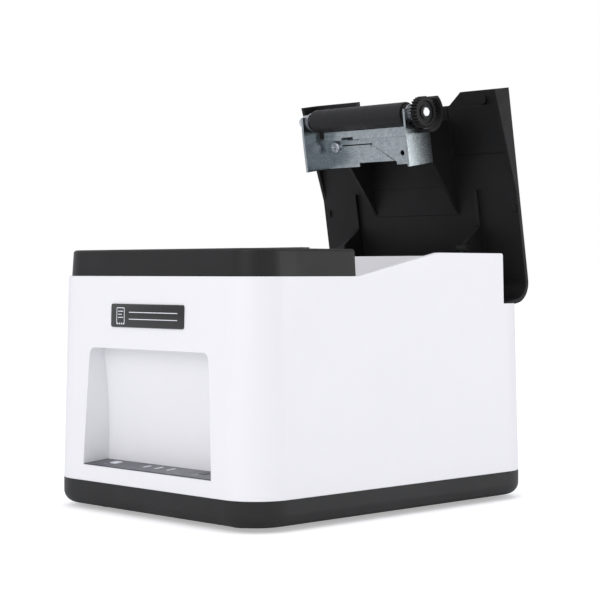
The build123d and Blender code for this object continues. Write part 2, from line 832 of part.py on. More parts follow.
switch_x, switch_w, switch_h = socket_windows["switch"]
bezel_y = case_depth / 2 - lean(socket_z - switch_h / 2) + 0.05
switch_frame = box(
    switch_x - switch_w / 2,
    switch_x + switch_w / 2,
    bezel_y - 13,
    bezel_y,
    socket_z - switch_h / 2,
    socket_z + switch_h / 2,
)
switch_frame = switch_frame + box(
    switch_x - switch_w / 2 - 1.3,
    switch_x + switch_w / 2 + 1.3,
    bezel_y,
    bezel_y + 1.5,
    socket_z - switch_h / 2 - 1.3,
    socket_z + switch_h / 2 + 1.3,
)
rocker_half = 5.0
rocker_side_gap = 0.3
rocker_sink = 4.2
rocker_well = 9.0
rocker_well_half = 8.2
switch_frame = switch_frame - box(
    switch_x - rocker_half - rocker_side_gap,
    switch_x + rocker_half + rocker_side_gap,
    bezel_y - rocker_well,
    bezel_y + 2,
    socket_z - rocker_well_half,
    socket_z + rocker_well_half,
)
rocker_y = bezel_y - rocker_sink
rocker_pin_r = 1.0
switch_frame = switch_frame - rod_x(
    rocker_y, socket_z, rocker_pin_r + 0.05, switch_x - switch_w / 2 - 1, switch_x + switch_w / 2 + 1
)
save("switch_frame", switch_frame)
rocker_lean = 8.0
rocker_outline = [(5.6, -7.2), (4.4, 0), (5.6, 7.2), (1.8, 7.2), (-2.6, 2), (-2.6, -2), (1.8, -7.2)]
rocker = side_prism(rocker_outline, -rocker_half, rocker_half)
rocker = rocker + rod_x(0, 0, rocker_pin_r, -switch_w / 2 + 0.1, switch_w / 2 - 0.1)
save("power_rocker", Pos(switch_x, rocker_y, socket_z) * Rot(-rocker_lean, 0, 0) * rocker)

# ---- hinge pins ----

pin_inner_x = arm_x - knuckle_width / 2
pin_left = rod_x(hinge_y, hinge_z, hinge_pin_r, pin_inner_x, ear_x + ear_width)
save("hinge_pins", Compound(children=[pin_left, mirror(pin_left, about=Plane.YZ)]))

# ---- cover shell ----

panel_under_z = cover_top_z - cover_wall
cover_foot_z = cover_top_z - cover_back_height
inner_corner = cover_corner - cover_wall
profile = [
    Line((free_edge_y, cover_top_z), (cover_back_y - cover_corner, cover_top_z)),
    RadiusArc(
        (cover_back_y - cover_corner, cover_top_z), (cover_back_y, cover_top_z - cover_corner), cover_corner
    ),
    Line((cover_back_y, cover_top_z - cover_corner), (cover_back_y, cover_foot_z)),
    Line((cover_back_y, cover_foot_z), (cover_back_y - cover_wall, cover_foot_z)),
    Line((cover_back_y - cover_wall, cover_foot_z), (cover_back_y - cover_wall, cover_top_z - cover_corner)),
    RadiusArc(
        (cover_back_y - cover_wall, cover_top_z - cover_corner),
        (cover_back_y - cover_corner, panel_under_z),
        -inner_corner,
    ),
    Line((cover_back_y - cover_corner, panel_under_z), (free_edge_y, panel_under_z)),
    Line((free_edge_y, panel_under_z), (free_edge_y, cover_top_z)),
]
panel = Pos(-cover_half, 0, 0) * extrude(Plane.YZ * make_face(profile), amount=2 * cover_half)

skirt = side_prism(
    [
        (free_edge_y, cover_top_z - skirt_depth),
        (free_edge_y, panel_under_z + 0.5),
        (free_edge_y + skirt_length, panel_under_z + 0.5),
        (free_edge_y + skirt_length, panel_under_z),
    ],
    cover_half - skirt_wall,
    cover_half,
)
notch_back_y = free_edge_y + notch_depth
tab_x = -notch_half - 3.9
tab_depth = 3.4
notch_points = [
    (-notch_half, notch_back_y),
    (notch_half, notch_back_y),
    (notch_half + notch_flare, free_edge_y - 1),
    (tab_x, free_edge_y - 1),
    (tab_x, free_edge_y + tab_depth),
]
notch = extrude(
    Pos(0, 0, panel_under_z - 3) * make_face(Polyline(*notch_points, close=True)), amount=10
)

gusset_front_y = -15.0
gusset_end_y = 31.9
web_front_y = -11.3
web_back_y = 3.6
gusset = side_prism(
    [
        (gusset_front_y, panel_under_z + 0.5),
        (gusset_front_y, web_top_z + 6),
        (web_front_y, web_top_z),
        (-7.6, web_top_z),
        (gusset_end_y, panel_under_z),
        (gusset_end_y, panel_under_z + 0.5),
    ],
    gusset_x - gusset_wall / 2,
    gusset_x + gusset_wall / 2,
)
pad_sheet = 0.8
lower_pad_sheet = 0.4
side_pad_end_y = 2.6
centre_pad_end_y = 17.9
centre_pad = box(
    -gusset_x, gusset_x, notch_back_y + 1, centre_pad_end_y, panel_under_z - pad_sheet, panel_under_z
)
side_pad = box(
    gusset_x + gusset_wall / 2,
    cover_half - skirt_wall,
    notch_back_y + 1,
    side_pad_end_y,
    panel_under_z - pad_sheet,
    panel_under_z,
)
lower_pad = box(
    -gusset_x, gusset_x, centre_pad_end_y, gusset_end_y, panel_under_z - lower_pad_sheet, panel_under_z
)
# A pad with a slanting edge stiffens the panel to the left of the notch.
latch_pad_points = [
    (tab_x - 7.5, free_edge_y),
    (tab_x, free_edge_y),
    (tab_x, notch_back_y + 1),
    (tab_x - 23.6, notch_back_y + 1),
]
latch_pad = extrude(
    Pos(0, 0, panel_under_z - pad_sheet) * make_face(Polyline(*latch_pad_points, close=True)),
    amount=pad_sheet + 0.5,
)
arm_tip_y = 45.0
arm_tip_z = 99.7
arm = side_prism(
    [
        (36.7, panel_under_z + 0.5),
        (36.7, panel_under_z),
        (arm_tip_y, arm_tip_z),
        (hinge_y - 2.2, hinge_z - 2.2),
        (hinge_y, hinge_z - knuckle_r + 0.1),
        (cover_back_y - cover_wall + 0.5, cover_foot_z + 1),
        (cover_back_y - cover_wall + 0.5, cover_top_z - cover_corner),
        (cover_back_y - cover_corner, panel_under_z + 0.5),
    ],
    arm_x - arm_wall / 2,
    arm_x + arm_wall / 2,
)
knuckle = rod_x(hinge_y, hinge_z, knuckle_r, arm_x - knuckle_width / 2, arm_x + knuckle_width / 2)
low_rib = box(
    arm_x - arm_wall / 2, arm_x + arm_wall / 2, 20.0, 37.5, panel_under_z - 2, panel_under_z + 0.5
)
arm_boss = rod_x(arm_tip_y + 1.6, arm_tip_z + 0.6, 1.8, arm_x - 2.9, arm_x + 2.9)
corner_stud = rod_z(50.7, free_edge_y + 4.4, 2.2, panel_under_z - 1.6, panel_under_z + 0.5)
edge_clip = box(60.3, cover_half - 1, 28.0, 31.0, panel_under_z - 0.9, panel_under_z + 0.5)

screw_x = -27.0
screw_y = -7.0
spare_x = 16.8
spare_y = -1.9
screw_boss = rod_z(screw_x, screw_y, 3.4, web_top_z, panel_under_z + 0.5)
spare_boss = rod_z(spare_x, spare_y, 3.0, web_top_z, panel_under_z + 0.5)

cover = panel + both_sides(skirt) - notch
cover = fused(cover, both_sides(gusset), both_sides(arm), both_sides(knuckle), both_sides(low_rib))
cover = fused(cover, centre_pad, lower_pad, latch_pad, both_sides(side_pad))
cover = fused(cover, both_sides(arm_boss), both_sides(corner_stud))
cover = fused(cover, both_sides(edge_clip), screw_boss, spare_boss)
# The back panel is cut away where the case's ears stand, in every position of the cover.
ear_relief = box(
    ear_x - ear_gap,
    ear_x + ear_width + ear_gap,
    cover_back_y - cover_wall - 1,
    cover_back_y + 1,
    cover_foot_z - 1,
    hinge_z + ear_r + ear_gap,
)
cover = cover - both_sides(ear_relief)
# A pocket in the back panel leaves room for the spring's coil.
spring_x = -arm_x + knuckle_width / 2 + 0.6
coil_wire = 0.5
coil_r = knuckle_r - 0.9
coil_length = 3.5
coil_room = 0.3
cover = cover - rod_x(
    hinge_y,
    hinge_z,
    coil_r + coil_wire + coil_room,
    spring_x - coil_wire - 0.05,
    spring_x + coil_length + coil_room,
)
cover = cover - both_sides(
    rod_x(hinge_y, hinge_z, hinge_pin_r + hinge_running, arm_x - knuckle_width, arm_x + knuckle_width)
)
bracket_screw_r = 1.5
cover = cover - rod_z(screw_x, screw_y, bracket_screw_r, web_top_z - 1, web_top_z + 9)
cover = cover - rod_z(spare_x, spare_y, 1.2, web_top_z - 1, web_top_z + 9)
save("cover_shell", swing_open(cover))

# ---- platen bracket: one folded sheet with a web and two cheeks ----

flange_low_z = 75.3
cheek = side_prism(
    [
        (platen_y - 2.6, flange_low_z + 0.6),
        (web_front_y, flange_low_z),
        (web_back_y, flange_low_z),
        (web_back_y, web_top_z),
        (web_front_y, web_top_z),
        (web_front_y, 86.6),
        (platen_y - 2.6, 86.6),
    ],
    bracket_half - bracket_sheet,
    bracket_half,
)
web = box(
    -bracket_half + 0.1,
    bracket_half - 0.1,
    web_front_y,
    web_back_y,
    web_top_z - bracket_sheet,
    web_top_z,
)
step_low_z = 86.6
fold = box(-30.5, 30.5, web_front_y - 0.2, web_front_y + 1.0, step_low_z, web_top_z - 0.1)
lip_strip = box(-30.5, 30.5, platen_y + 6.2, web_front_y + 1.0, step_low_z, step_low_z + bracket_sheet)
bracket = fused(both_sides(cheek), web, fold, lip_strip)
# A flap is cut free along three edges. Its front edge is rolled into a low rib.
flap_front_y = -7.6
flap_back_y = 2.2
flap_slit = 0.5
flap_rib = 1.1
flap_front = (-2.9, flap_front_y)
flap_back = (12.5, flap_back_y)
flap_cut = [
    (-23.5, flap_front_y),
    flap_front,
    flap_back,
    (flap_back[0], web_back_y + 1),
    (-12.4, web_back_y + 1),
    (-12.4, flap_back_y - flap_slit),
    (flap_back[0] - 3 * flap_slit, flap_back_y - flap_slit),
    (flap_front[0] - flap_slit, flap_front_y + flap_slit),
    (-23.5, flap_front_y + flap_slit),
]
flap_window = extrude(
    Pos(0, 0, web_top_z - 3) * make_face(Polyline(*flap_cut, close=True)), amount=6
)
bracket = bracket - flap_window
bracket = bracket + box(
    -22.5,
    flap_front[0] - flap_slit,
    flap_front_y + flap_slit,
    flap_front_y + flap_slit + flap_rib,
    web_top_z - bracket_sheet - flap_slit,
    web_top_z - bracket_sheet + 0.1,
)
bracket = bracket - rod_z(screw_x, screw_y, bracket_screw_r + 0.1, web_top_z - 3, web_top_z + 1)
bracket = bracket - rod_z(spare_x, spare_y, 1.3, web_top_z - 3, web_top_z + 1)
bracket = bracket - box(-18.9, -11.0, web_front_y - 0.3, web_front_y + 1.5, step_low_z - 1, web_top_z + 1)
bracket = bracket - rod_x(platen_y, platen_z, bush_r, -bracket_half - 1, bracket_half + 1)
save("platen_bracket", swing_open(bracket))

bracket_screw = pan_screw(bracket_screw_r, 2.9, 1.7, 7)
bracket_screw = Pos(screw_x, screw_y, web_top_z - bracket_sheet) * Rot(180, 0, 0) * bracket_screw
save("bracket_screw", swing_open(bracket_screw))

bush = rod_x(platen_y, platen_z, bush_r, bracket_half - bracket_sheet, gear_x - 0.5)
cheek_inner_x = bracket_half - bracket_sheet
bush = bush + rod_x(platen_y, platen_z, bush_r + 0.8, cheek_inner_x - 0.9, cheek_inner_x)
bush = bush - rod_x(platen_y, platen_z, shaft_r + shaft_running, 0, 60)
save("platen_bushes", swing_open(Compound(children=[bush, mirror(bush, about=Plane.YZ)])))

guard_inner = platen_pitch_r + tip + 0.65
guard_wall = 1.5
guard_z = platen_z + 1.7
guard_ring = rod_x(platen_y, guard_z, guard_inner + guard_wall, bracket_half, gear_x + gear_face + 0.9)
guard_ring = guard_ring - rod_x(platen_y, guard_z, guard_inner, 0, 60)
guard_sector = side_prism(
    [
        (platen_y, guard_z),
        (platen_y - 14, guard_z + 14),
        (platen_y, guard_z + 24),
        (platen_y + 20, guard_z + 14),
        (platen_y + 20, guard_z - 2.5),
    ],
    0,
    60,
)
guard_lug = side_prism(
    [(-17.0, 82.5), (-11.9, 82.5), (-11.9, 86.4), (-17.0, 86.4)], bracket_half, bracket_half + 1.4
)
guard = (guard_ring & guard_sector) + guard_lug
save("gear_guard", swing_open(guard))

# ---- hinge spring: coil round the left knuckle's inner side, leg up the arm ----

coil = rod_x(hinge_y, hinge_z, coil_r + coil_wire, spring_x - coil_wire, spring_x + coil_length)
coil = coil - rod_x(hinge_y, hinge_z, coil_r - coil_wire, -60, 0)
leg_start = (hinge_y - 0.6, hinge_z + coil_r)
leg_end = (arm_tip_y + 1.8, arm_tip_z + 3.2)
leg_run = math.hypot(leg_end[0] - leg_start[0], leg_end[1] - leg_start[1])
leg_angle = math.degrees(math.atan2(leg_end[1] - leg_start[1], leg_end[0] - leg_start[0]))
leg_wire = coil_wire - 0.08
hook_reach = 1.7
leg_points = [
    (-leg_wire, 0),
    (leg_wire, 0),
    (leg_wire, leg_run),
    (-hook_reach, leg_run),
    (-hook_reach, leg_run - 2 * leg_wire),
    (-leg_wire, leg_run - 2 * leg_wire),
]
leg = extrude(make_face(Polyline(*leg_points, close=True)), amount=leg_wire, both=True)
leg = Pos(spring_x, leg_start[0], leg_start[1]) * Rot(leg_angle, 0, 0) * leg
save("hinge_spring", swing_open(coil + leg))

# ---- platen: rubber, shaft, collar and gear ----

rubber = rod_x(platen_y, platen_z, platen_r, -platen_length / 2, platen_length / 2)
rubber = fillet(rubber.edges(), 0.4) - rod_x(platen_y, platen_z, shaft_r, -60, 60)
save("platen_rubber", swing_open(rubber))
shaft = rod_x(platen_y, platen_z, shaft_r, shaft_left, shaft_right)
shaft = chamfer(shaft.edges(), 0.4)
save("platen_shaft", swing_open(shaft))
collar = rod_x(platen_y, platen_z, 4.6, platen_length / 2, platen_length / 2 + 1.7)
save("platen_collar", swing_open(collar - rod_x(platen_y, platen_z, shaft_r, 0, 60)))
platen_gear = spur_gear(platen_teeth, gear_face, 0.05, shaft_r, 3.4, 0.3)
platen_gear = platen_gear - (rod_x(0, 0, 5.4, gear_face - 0.7, gear_face + 1) - rod_x(0, 0, 3.4, 0, 9))
save("platen_gear", swing_open(Pos(gear_x, platen_y, platen_z) * platen_gear))
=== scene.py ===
import json
import math

import bmesh
import bpy
from mathutils import Matrix, Vector


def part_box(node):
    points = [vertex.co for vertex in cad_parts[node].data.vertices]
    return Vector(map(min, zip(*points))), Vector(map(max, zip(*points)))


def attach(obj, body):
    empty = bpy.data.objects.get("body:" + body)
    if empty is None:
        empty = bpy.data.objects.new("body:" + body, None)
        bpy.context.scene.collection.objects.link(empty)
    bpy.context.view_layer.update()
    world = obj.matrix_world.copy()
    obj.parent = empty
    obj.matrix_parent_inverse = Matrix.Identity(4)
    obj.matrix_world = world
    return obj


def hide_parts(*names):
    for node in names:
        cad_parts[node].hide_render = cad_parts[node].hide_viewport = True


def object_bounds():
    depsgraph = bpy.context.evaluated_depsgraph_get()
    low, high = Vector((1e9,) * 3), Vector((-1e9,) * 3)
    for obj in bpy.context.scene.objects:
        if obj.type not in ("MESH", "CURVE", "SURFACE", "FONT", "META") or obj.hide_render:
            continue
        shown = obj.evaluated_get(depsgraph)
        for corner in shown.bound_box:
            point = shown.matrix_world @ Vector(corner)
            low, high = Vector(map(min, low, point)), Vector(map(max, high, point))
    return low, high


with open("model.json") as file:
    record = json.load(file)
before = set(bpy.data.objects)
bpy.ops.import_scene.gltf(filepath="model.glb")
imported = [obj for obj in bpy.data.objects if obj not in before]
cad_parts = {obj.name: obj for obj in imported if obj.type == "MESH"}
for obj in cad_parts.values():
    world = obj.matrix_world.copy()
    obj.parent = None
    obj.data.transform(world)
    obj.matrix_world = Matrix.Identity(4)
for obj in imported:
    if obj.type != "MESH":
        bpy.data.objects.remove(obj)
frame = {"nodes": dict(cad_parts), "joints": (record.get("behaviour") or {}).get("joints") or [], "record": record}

mm = 0.001
cadLow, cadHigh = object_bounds()
nodes = frame["nodes"]
joints = {joint["name"]: joint for joint in frame["joints"]}


# view, light and floor

viewSettings = {
    "cameraPlace": (574.3, -558.1, 107.4),  # mm
    "cameraAim": (-0.71507, 0.69884, -0.01678),
    "lens": 102.6,
    "sensor": 36.0,
    "floorSize": 60.0,  # metres
    "floorColour": (0.9, 0.9, 0.905, 1.0),
    "floorGlow": 0.4,  # seen by the camera alone, so that the far floor is as white as the sky
    "skySeen": (1.0, 1.0, 1.0, 1.0),
    "skyFill": (0.95, 0.955, 1.0, 1.0),
    "skyStrength": 0.74,
}
lamps = {
    "frontSoftbox": {"place": (0.25, -1.6, 1.0), "size": 1.1, "power": 9.0},
    "sideSoftbox": {"place": (1.65, -0.15, 0.8), "size": 1.0, "power": 0.5},
    "topSoftbox": {"place": (0.1, 0.15, 1.7), "size": 1.3, "power": 4.5},
    "backSoftbox": {"place": (1.05, 1.05, 0.25), "size": 0.6, "power": 3.0},
}


def aimAlong(thing, direction):
    thing.rotation_mode = "QUATERNION"
    thing.rotation_quaternion = Vector(direction).to_track_quat("-Z", "Y")


def makeCamera():
    lensData = bpy.data.cameras.new("studioCamera")
    lensData.sensor_width = viewSettings["sensor"]
    lensData.lens = viewSettings["lens"]
    lensData.clip_start = 0.05
    lensData.clip_end = 100.0
    camera = bpy.data.objects.new("studioCamera", lensData)
    bpy.context.scene.collection.objects.link(camera)
    camera.location = Vector(viewSettings["cameraPlace"]) * mm
    aimAlong(camera, viewSettings["cameraAim"])
    bpy.context.scene.camera = camera


def makeLamps():
    centre = (cadLow + cadHigh) / 2
    for name, lamp in lamps.items():
        lampData = bpy.data.lights.new(name, "AREA")
        lampData.size = lamp["size"]
        lampData.energy = lamp["power"]
        lampObject = bpy.data.objects.new(name, lampData)
        bpy.context.scene.collection.objects.link(lampObject)
        lampObject.location = lamp["place"]
        aimAlong(lampObject, centre - lampObject.location)


def makeSky():
    world = bpy.data.worlds.new("studioSky")
    bpy.context.scene.world = world
    world.use_nodes = True
    tree = world.node_tree
    tree.nodes.clear()
    seen = addNode(tree, "ShaderNodeBackground", {"Color": viewSettings["skySeen"], "Strength": 1.0})
    fillLook = {"Color": viewSettings["skyFill"], "Strength": viewSettings["skyStrength"]}
    fill = addNode(tree, "ShaderNodeBackground", fillLook)
    ray = addNode(tree, "ShaderNodeLightPath").outputs["Is Camera Ray"]
    mixed = addNode(tree, "ShaderNodeMixShader", {0: ray, 1: fill.outputs[0], 2: seen.outputs[0]})
    addNode(tree, "ShaderNodeOutputWorld", {"Surface": mixed.outputs[0]})


def makeFloor():
    bm = bmesh.new()
    bmesh.ops.create_grid(bm, x_segments=1, y_segments=1, size=viewSettings["floorSize"] / 2)
    mesh = bpy.data.meshes.new("paleFloor")
    bm.to_mesh(mesh)
    bm.free()
    floor = bpy.data.objects.new("paleFloor", mesh)
    bpy.context.scene.collection.objects.link(floor)
    material = bpy.data.materials.new("paleFloor")
    material.use_nodes = True
    shader = material.node_tree.nodes["Principled BSDF"]
    shader.inputs["Base Color"].default_value = viewSettings["floorColour"]
    shader.inputs["Roughness"].default_value = 0.9
    shader.inputs["Specular IOR Level"].default_value = 0.0
    shader.inputs["Emission Color"].default_value = (1.0, 1.0, 1.0, 1.0)
    ray = addNode(material.node_tree, "ShaderNodeLightPath").outputs["Is Camera Ray"]
    glow = maths(material.node_tree, "MULTIPLY", ray, viewSettings["floorGlow"])
    material.node_tree.links.new(glow, shader.inputs["Emission Strength"])
    mesh.materials.append(material)


# node helpers

def addNode(tree, kind, values=None, **settings):
    node = tree.nodes.new(kind)
    for key, value in settings.items():
        setattr(node, key, value)
    for key, value in (values or {}).items():
        if isinstance(value, bpy.types.NodeSocket):
            tree.links.new(value, node.inputs[key])
        else:
            node.inputs[key].default_value = value
    return node


def maths(tree, operation, first, second=0.0, third=0.0):
    return addNode(tree, "ShaderNodeMath", {0: first, 1: second, 2: third}, operation=operation).outputs[0]


def spread(tree, value, low, high, fromLow=0.0, fromHigh=1.0):
    values = {"Value": value, "From Min": fromLow, "From Max": fromHigh, "To Min": low, "To Max": high}
    return addNode(tree, "ShaderNodeMapRange", values).outputs[0]


def mixColour(tree, factor, first, second, blend="MIX"):
    node = addNode(tree, "ShaderNodeMix", data_type="RGBA", blend_type=blend)
    for index, value in ((0, factor), (6, first), (7, second)):
        if isinstance(value, bpy.types.NodeSocket):
            tree.links.new(value, node.inputs[index])
        else:
            node.inputs[index].default_value = value
    return node.outputs[2]


def newGroup(name, inputs, outputs):
    tree = bpy.data.node_groups.new(name, "ShaderNodeTree")
    for socketName, kind, start in inputs:
        socket = tree.interface.new_socket(socketName, in_out="INPUT", socket_type=kind)
        if start is not None:
            socket.default_value = start
    for socketName, kind in outputs:
        tree.interface.new_socket(socketName, in_out="OUTPUT", socket_type=kind)
    return tree, tree.nodes.new("NodeGroupInput").outputs, tree.nodes.new("NodeGroupOutput")


def placeGroup(tree, group, values):
    node = tree.nodes.new("ShaderNodeGroup")
    node.node_tree = group
    for key, value in values.items():
        node.inputs[key].default_value = value
    return node.outputs


def noise(tree, vector, scale, detail=2.0, roughness=0.5):
    values = {"Vector": vector, "Scale": scale, "Detail": detail, "Roughness": roughness}
    return addNode(tree, "ShaderNodeTexNoise", values).outputs["Fac"]


def makeMouldGrain():
    tree, given, out = newGroup(
        "mouldGrain",
        [("Grain Scale", "NodeSocketFloat", 2200.0), ("Mottle Scale", "NodeSocketFloat", 60.0)],
        [("Grain", "NodeSocketFloat"), ("Mottle", "NodeSocketFloat"), ("Smudge", "NodeSocketFloat")],
    )
    place = addNode(tree, "ShaderNodeTexCoord").outputs["Object"]
    grain = noise(tree, place, given["Grain Scale"], 2.0, 0.6)
    mottle = noise(tree, place, given["Mottle Scale"], 3.0, 0.55)
    smudge = noise(tree, place, 22.0, 4.0, 0.65)
    tree.links.new(grain, out.inputs["Grain"])
    tree.links.new(mottle, out.inputs["Mottle"])
    tree.links.new(spread(tree, smudge, 0.0, 1.0, 0.42, 0.68), out.inputs["Smudge"])
    return tree


def makeSoftEdge():
    # a rounded normal at each edge, and a mask of where the edge is
    tree, given, out = newGroup(
        "softEdge",
        [("Radius", "NodeSocketFloat", 0.0004), ("Breakup Scale", "NodeSocketFloat", 300.0)],
        [("Normal", "NodeSocketVector"), ("Wear", "NodeSocketFloat")],
    )
    rounded = addNode(tree, "ShaderNodeBevel", {"Radius": given["Radius"]}, samples=4).outputs["Normal"]
    flat = addNode(tree, "ShaderNodeNewGeometry").outputs["Normal"]
    dot = addNode(tree, "ShaderNodeVectorMath", {0: rounded, 1: flat}, operation="DOT_PRODUCT")
    turned = maths(tree, "SUBTRACT", 1.0, dot.outputs["Value"])
    edge = spread(tree, turned, 0.0, 1.0, 0.02, 0.22)
    place = addNode(tree, "ShaderNodeTexCoord").outputs["Object"]
    breakup = spread(tree, noise(tree, place, given["Breakup Scale"], 3.0, 0.6), 0.0, 1.0, 0.4, 0.62)
    tree.links.new(rounded, out.inputs["Normal"])
    tree.links.new(maths(tree, "MULTIPLY", edge, breakup), out.inputs["Wear"])
    return tree


def makeZincSpangle():
    tree, given, out = newGroup(
        "zincSpangle",
        [("Cell Scale", "NodeSocketFloat", 380.0)],
        [("Cells", "NodeSocketFloat"), ("Lines", "NodeSocketFloat"), ("Speckle", "NodeSocketFloat")],
    )
    place = addNode(tree, "ShaderNodeTexCoord").outputs["Object"]
    cells = addNode(tree, "ShaderNodeTexVoronoi", {"Vector": place, "Scale": given["Cell Scale"]})
    grey = addNode(tree, "ShaderNodeSeparateColor", {"Color": cells.outputs["Color"]}).outputs[0]
    stretched = addNode(tree, "ShaderNodeMapping", {"Vector": place, "Scale": (60.0, 2600.0, 2600.0)})
    lines = noise(tree, stretched.outputs[0], 1.0, 2.0, 0.5)
    speckle = noise(tree, place, 2400.0, 2.0, 0.7)
    tree.links.new(grey, out.inputs["Cells"])
    tree.links.new(lines, out.inputs["Lines"])
    tree.links.new(speckle, out.inputs["Speckle"])
    return tree


def makeTurnedRings():
    # fine rings round the X axis, as a lathe or a grinding wheel leaves them
    tree, given, out = newGroup(
        "turnedRings",
        [("Ring Scale", "NodeSocketFloat", 5000.0)],
        [("Rings", "NodeSocketFloat"), ("Bands", "NodeSocketFloat")],
    )
    place = addNode(tree, "ShaderNodeTexCoord").outputs["Object"]
    along = addNode(tree, "ShaderNodeMapping", {"Vector": place, "Scale": (1.0, 0.02, 0.02)}).outputs[0]
    tree.links.new(noise(tree, along, given["Ring Scale"], 1.0, 0.5), out.inputs["Rings"])
    tree.links.new(noise(tree, along, 300.0, 2.0, 0.5), out.inputs["Bands"])
    return tree


def newMaterial(name):
    material = bpy.data.materials.new(name)
    material.use_nodes = True
    tree = material.node_tree
    return material, tree, tree.nodes["Principled BSDF"]


def grey(tone, blue=1.0):
    return (tone, tone, tone * blue, 1.0)


def addBump(tree, shader, height, normal, strength, distance):
    values = {"Height": height, "Normal": normal, "Strength": strength, "Distance": distance}
    tree.links.new(addNode(tree, "ShaderNodeBump", values).outputs[0], shader.inputs["Normal"])


def makePlastic(name, look):
    material, tree, shader = newMaterial(name)
    grain = placeGroup(tree, mouldGrain, {"Grain Scale": look["grain"]})
    edge = placeGroup(tree, softEdge, {"Radius": look["edge"] * mm})
    body = mixColour(tree, grain["Mottle"], look["colour"], look["shade"])
    worn = mixColour(tree, maths(tree, "MULTIPLY", edge["Wear"], look["wear"]), body, look["wornColour"])
    tree.links.new(worn, shader.inputs["Base Color"])
    low, high = look["rough"]
    tree.links.new(spread(tree, grain["Smudge"], high, low), shader.inputs["Roughness"])
    addBump(tree, shader, grain["Grain"], edge["Normal"], look["bump"], 0.03 * mm)
    shader.inputs["Specular IOR Level"].default_value = look.get("specular", 0.5)
    shader.inputs["Coat Roughness"].default_value = 0.25
    shader.inputs["Coat Weight"].default_value = look.get("coat", 0.0)
    return material


def makeSheetMetal(name, look):
    material, tree, shader = newMaterial(name)
    zinc = placeGroup(tree, zincSpangle, {"Cell Scale": look["cells"]})
    edge = placeGroup(tree, softEdge, {"Radius": look["edge"] * mm})
    cells = mixColour(tree, zinc["Cells"], look["colour"], look["shade"])
    flecks = spread(tree, zinc["Speckle"], 0.0, look["fleck"], 0.45, 0.7)
    flecked = mixColour(tree, flecks, cells, look["bright"])
    tree.links.new(flecked, shader.inputs["Base Color"])
    low, high = look["rough"]
    tree.links.new(spread(tree, zinc["Lines"], low, high, 0.3, 0.7), shader.inputs["Roughness"])
    addBump(tree, shader, zinc["Lines"], edge["Normal"], look["bump"], 0.02 * mm)
    shader.inputs["Metallic"].default_value = 1.0
    return material


def makeTurned(name, look):
    material, tree, shader = newMaterial(name)
    turned = placeGroup(tree, turnedRings, {"Ring Scale": look["rings"]})
    edge = placeGroup(tree, softEdge, {"Radius": look["edge"] * mm})
    banded = mixColour(tree, turned["Bands"], look["colour"], look["shade"])
    tree.links.new(banded, shader.inputs["Base Color"])
    low, high = look["rough"]
    tree.links.new(spread(tree, turned["Bands"], low, high, 0.3, 0.7), shader.inputs["Roughness"])
    addBump(tree, shader, turned["Rings"], edge["Normal"], look["bump"], 0.02 * mm)
    shader.inputs["Metallic"].default_value = look["metal"]
    shader.inputs["Specular IOR Level"].default_value = look.get("specular", 0.5)
    return material


# finishes

